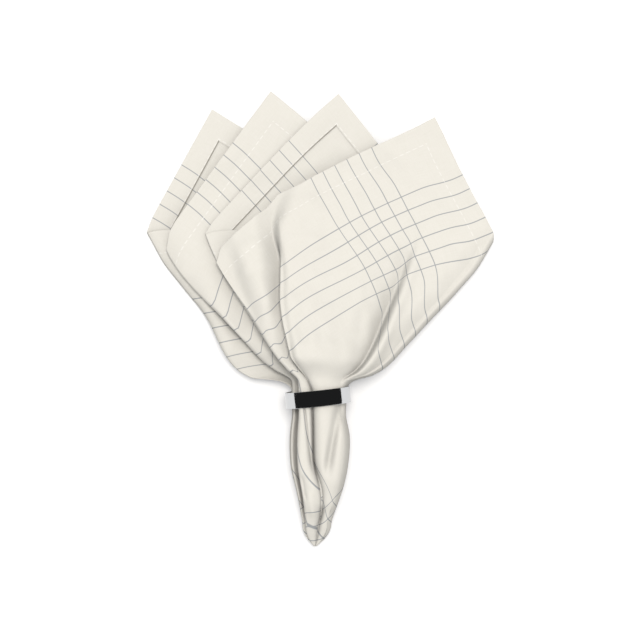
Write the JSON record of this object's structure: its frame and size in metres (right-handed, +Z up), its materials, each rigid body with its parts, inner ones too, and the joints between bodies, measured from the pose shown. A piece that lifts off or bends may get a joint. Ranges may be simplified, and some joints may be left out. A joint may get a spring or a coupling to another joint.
{
  "type": "cloth napkin in a ring",
  "caption": "Square cloth napkin pinched at its middle, pleated into a fan of points and drawn through a plain metal ring.",
  "frame": {"origin": "centre of the bounding box in plan, on the table surface", "axes": "+Y from the pinched tail to the fan of points, +Z up from the table, +X to the right seen from above"},
  "size_m": [0.2438, 0.3134, 0.0449],
  "materials": {
    "napkin_cloth": "matt plain-woven cotton and linen in natural cream, with fine grey-blue check lines and a stitched hem",
    "ring_metal": "polished, mirror bright"
  },
  "bodies": {
    "root": {"napkin": "napkin_cloth", "napkin_ring": "ring_metal"}
  },
  "joints": []
}
